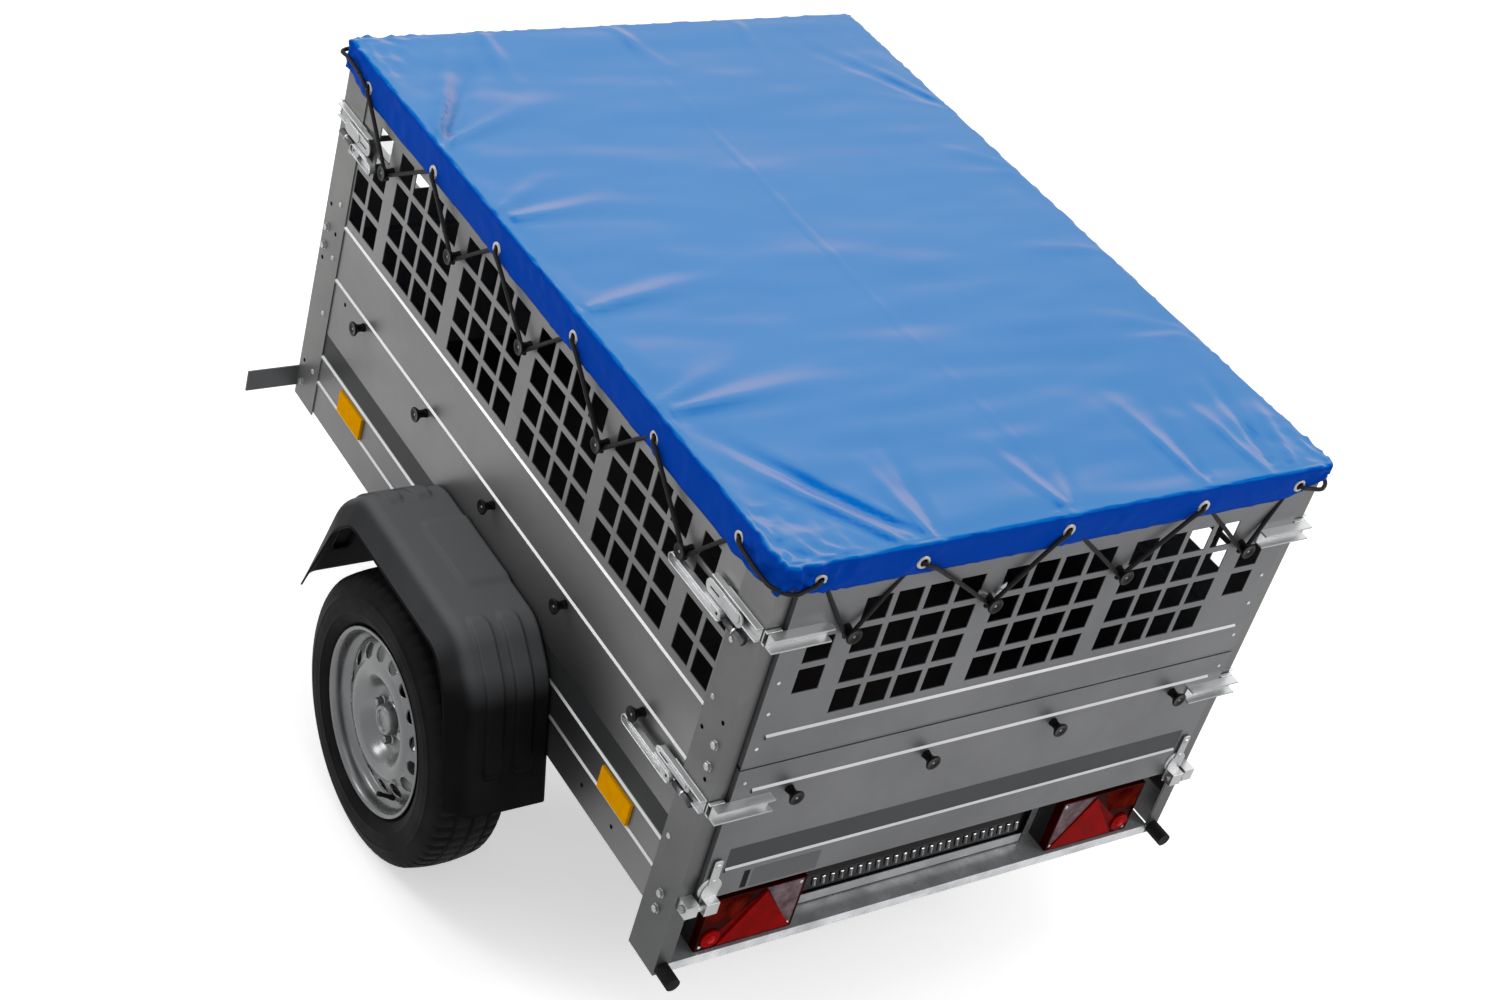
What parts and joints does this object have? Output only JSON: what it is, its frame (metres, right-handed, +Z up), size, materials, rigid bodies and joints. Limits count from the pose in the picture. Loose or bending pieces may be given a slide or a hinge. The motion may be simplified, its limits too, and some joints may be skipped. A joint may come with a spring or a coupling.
{
  "type": "utility trailer",
  "caption": "Single-axle utility trailer with mesh side extensions, drop-down tailgate, blue load cover on a lashing cord, mudguards and jockey wheel.",
  "frame": {"origin": "on the ground, at the middle of the whole length and width", "axes": "+X forward along the drawbar, +Y to the left, +Z up"},
  "size_m": [2.497, 1.506, 1.2328],
  "materials": {
    "zinc_steel": "hot-dip galvanised sheet, matt grey",
    "zinc_post": "galvanised folded angle",
    "bright_zinc": "bright zinc plate",
    "floor_board": "film-faced plywood, dark brown",
    "cover_blue": "coated tarpaulin, satin blue",
    "knob_black": "moulded, black",
    "fender_black": "moulded, textured black",
    "tyre_black": "black rubber",
    "rim_silver": "silver lacquer",
    "hub_metal": "machined steel, zinc cap",
    "axle_zinc": "hot-dip galvanised",
    "lamp_black": "black lamp housing",
    "lamp_red": "red reflector",
    "lamp_clear": "moulded lens, red, amber and clear",
    "amber": "amber reflector",
    "clear_lens": "clear lens",
    "plate_black": "black plate holder",
    "rubber": "black rubber"
  },
  "bodies": {
    "trailer": {"axle_beam": "axle_zinc", "axle_brackets": "axle_zinc", "coupling_handle": "bright_zinc", "coupling_head": "bright_zinc", "cover_knobs": "knob_black", "drawbar_tube": "axle_zinc", "fender_left": "fender_black", "fender_right": "fender_black", "floor_panel": "floor_board", "front_beam": "zinc_steel", "front_latches": "bright_zinc", "front_markers": "clear_lens", "front_panel": "zinc_steel", "front_posts": "zinc_post", "hinge_brackets": "bright_zinc", "jockey_clamp": "axle_zinc", "jockey_tube": "axle_zinc", "lamp_housings": "lamp_black", "lamp_lenses": "lamp_clear", "lamp_reflectors": "lamp_red", "load_cover": "cover_blue", "marker_brackets": "zinc_steel", "mesh_front": "zinc_steel", "mesh_left": "zinc_steel", "mesh_posts": "zinc_post", "mesh_rear": "zinc_steel", "mesh_right": "zinc_steel", "plate_holder": "plate_black", "rear_beam": "zinc_steel", "rear_latches": "bright_zinc", "rear_posts": "zinc_post", "rear_upper_keepers": "bright_zinc", "rubber_buffers": "rubber", "side_panel_left": "zinc_steel", "side_panel_right": "zinc_steel", "side_rails": "zinc_steel", "side_reflectors": "amber", "swing_arms": "axle_zinc"},
    "tailgate": {"tailgate_panel": "zinc_steel", "tailgate_straps": "bright_zinc", "tailgate_keepers": "bright_zinc", "tailgate_knobs": "knob_black"},
    "wheel_left": {"tyre_left": "tyre_black", "rim_left": "rim_silver", "hub_left": "hub_metal"},
    "wheel_right": {"tyre_right": "tyre_black", "rim_right": "rim_silver", "hub_right": "hub_metal"},
    "jockey_leg": {"jockey_leg": "axle_zinc"},
    "jockey_fork": {"jockey_fork": "axle_zinc"},
    "jockey_wheel": {"jockey_wheel": "rubber"}
  },
  "joints": [
    {"name": "tailgate_hinge", "type": "hinge", "parent": "trailer", "child": "tailgate", "pos_m": [-1.2295, 0, 0.511], "axis": [0, -1, 0], "range_deg": [0, 170]},
    {"name": "wheel_left_spin", "type": "hinge", "parent": "trailer", "child": "wheel_left", "pos_m": [-0.4595, 0.662, 0.28], "axis": [0, 1, 0], "continuous": true},
    {"name": "wheel_right_spin", "type": "hinge", "parent": "trailer", "child": "wheel_right", "pos_m": [-0.4595, -0.662, 0.28], "axis": [0, 1, 0], "continuous": true},
    {"name": "jockey_lift", "type": "slide", "parent": "trailer", "child": "jockey_leg", "axis": [0, 0, 1], "range_m": [-0.06, 0.16]},
    {"name": "jockey_swivel", "type": "hinge", "parent": "jockey_leg", "child": "jockey_fork", "pos_m": [0.8175, -0.062, 0.2], "axis": [0, 0, 1], "continuous": true},
    {"name": "jockey_spin", "type": "hinge", "parent": "jockey_fork", "child": "jockey_wheel", "pos_m": [0.7875, -0.062, 0.1], "axis": [0, 1, 0], "continuous": true}
  ]
}
